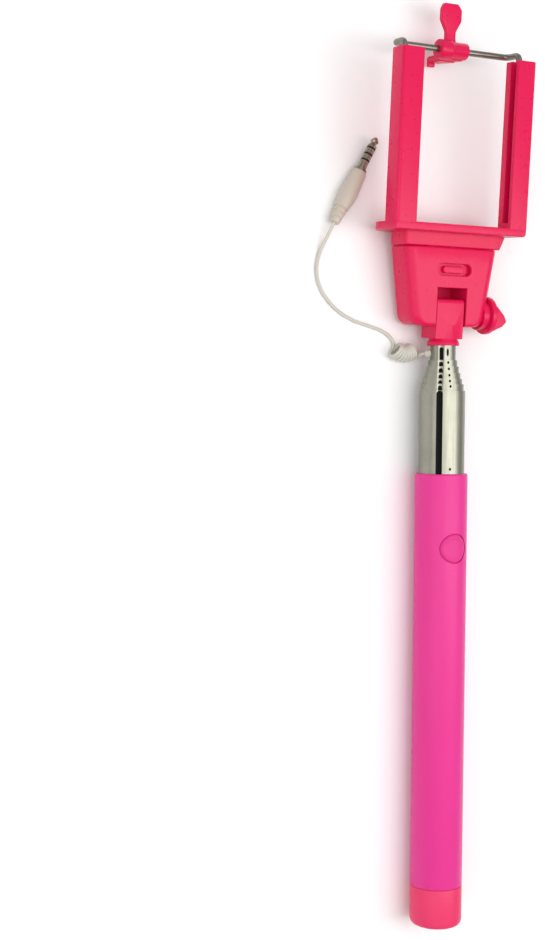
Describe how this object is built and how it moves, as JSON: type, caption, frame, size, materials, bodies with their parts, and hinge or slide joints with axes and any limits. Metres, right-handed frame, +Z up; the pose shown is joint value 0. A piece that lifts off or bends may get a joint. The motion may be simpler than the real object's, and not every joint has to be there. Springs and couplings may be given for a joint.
{
  "type": "selfie stick",
  "caption": "Telescopic handheld pole with a pink grip and shutter button, tilting head, sprung phone clamp, wing knob and a short curly audio lead with plug.",
  "frame": {"origin": "on the surface that the stick lies on, under the middle of its length and width", "axes": "+Y along the pole from the butt to the head, +Z up from the surface and out of the shutter button's face, +X to the side of the wing knob"},
  "size_m": [0.0791, 0.3503, 0.0275],
  "materials": {
    "grip_plastic": "satin moulded plastic, magenta pink",
    "button_plastic": "satin moulded plastic, slightly deeper pink",
    "cap_plastic": "satin moulded plastic, warm pink",
    "head_plastic": "glossy moulded plastic, red pink",
    "stem_plastic": "glossy moulded plastic, lighter red pink",
    "tube_metal": "drawn and polished tube",
    "wire_steel": "bright spring wire",
    "zinc_steel": "zinc plated",
    "white_plastic": "natural nylon",
    "black_plastic": "black",
    "copper_flex": "amber film",
    "cord_white": "warm white soft plastic",
    "plug_white": "warm white moulded plastic",
    "contact_metal": "nickel plated"
  },
  "bodies": {
    "grip": {"end_cap": "cap_plastic", "grip_sleeve": "grip_plastic", "switch_dome": "zinc_steel", "switch_flex": "copper_flex", "inner_cable": "white_plastic", "tube_1": "tube_metal"},
    "button": {"shutter_button": "button_plastic"},
    "section_2": {"tube_2": "tube_metal", "bush_2": "white_plastic"},
    "section_3": {"tube_3": "tube_metal", "bush_3": "white_plastic"},
    "section_4": {"tube_4": "tube_metal", "bush_4": "white_plastic"},
    "section_5": {"tube_5": "tube_metal", "bush_5": "white_plastic"},
    "section_6": {"tube_6": "tube_metal", "bush_6": "white_plastic"},
    "section_7": {"tube_7": "tube_metal", "bush_7": "white_plastic", "swivel_stem": "stem_plastic", "cable_gland": "cord_white", "cord_curl": "cord_white", "cord_lead": "cord_white", "plug_body": "plug_white", "plug_pin": "contact_metal", "plug_rings": "black_plastic"},
    "head": {"housing_front": "head_plastic", "housing_rear": "head_plastic", "housing_screws": "zinc_steel", "hex_nut": "zinc_steel", "friction_washers": "black_plastic", "clamp_frame": "head_plastic", "bow_springs": "zinc_steel"},
    "knob": {"wing_knob": "head_plastic", "hinge_bolt": "zinc_steel"},
    "bow": {"wire_bow": "wire_steel"},
    "hook": {"clamp_hook": "head_plastic", "hook_pad": "head_plastic"}
  },
  "joints": [
    {"name": "shutter_press", "type": "slide", "parent": "grip", "child": "button", "axis": [0, 0, -1], "range_m": [0, 0.00025], "stiffness_N_per_m": 3000, "springref_m": -0.0001, "deforming": ["switch_dome"]},
    {"name": "slide_2", "type": "slide", "parent": "grip", "child": "section_2", "axis": [0, 1, 0], "range_m": [0, 0.107]},
    {"name": "slide_3", "type": "slide", "parent": "section_2", "child": "section_3", "axis": [0, 1, 0], "range_m": [0, 0.107]},
    {"name": "slide_4", "type": "slide", "parent": "section_3", "child": "section_4", "axis": [0, 1, 0], "range_m": [0, 0.107]},
    {"name": "slide_5", "type": "slide", "parent": "section_4", "child": "section_5", "axis": [0, 1, 0], "range_m": [0, 0.107]},
    {"name": "slide_6", "type": "slide", "parent": "section_5", "child": "section_6", "axis": [0, 1, 0], "range_m": [0, 0.107]},
    {"name": "slide_7", "type": "slide", "parent": "section_6", "child": "section_7", "axis": [0, 1, 0], "range_m": [0, 0.107]},
    {"name": "head_tilt", "type": "hinge", "parent": "section_7", "child": "head", "pos_m": [0, 0.05949, 0.01], "axis": [1, 0, 0], "range_deg": [0, 90]},
    {"name": "knob_turn", "type": "hinge", "parent": "head", "child": "knob", "pos_m": [0, 0.05949, 0.01], "axis": [1, 0, 0], "continuous": true},
    {"name": "clamp_open", "type": "slide", "parent": "head", "child": "bow", "axis": [0, 0.9976, 0.0698], "range_m": [0, 0.028], "stiffness_N_per_m": 150, "springref_m": -0.02, "deforming": ["bow_springs"]},
    {"name": "hook_swivel", "type": "hinge", "parent": "bow", "child": "hook", "pos_m": [0, 0.1577, 0.01326], "axis": [1, 0, 0], "range_deg": [0, 60]}
  ]
}
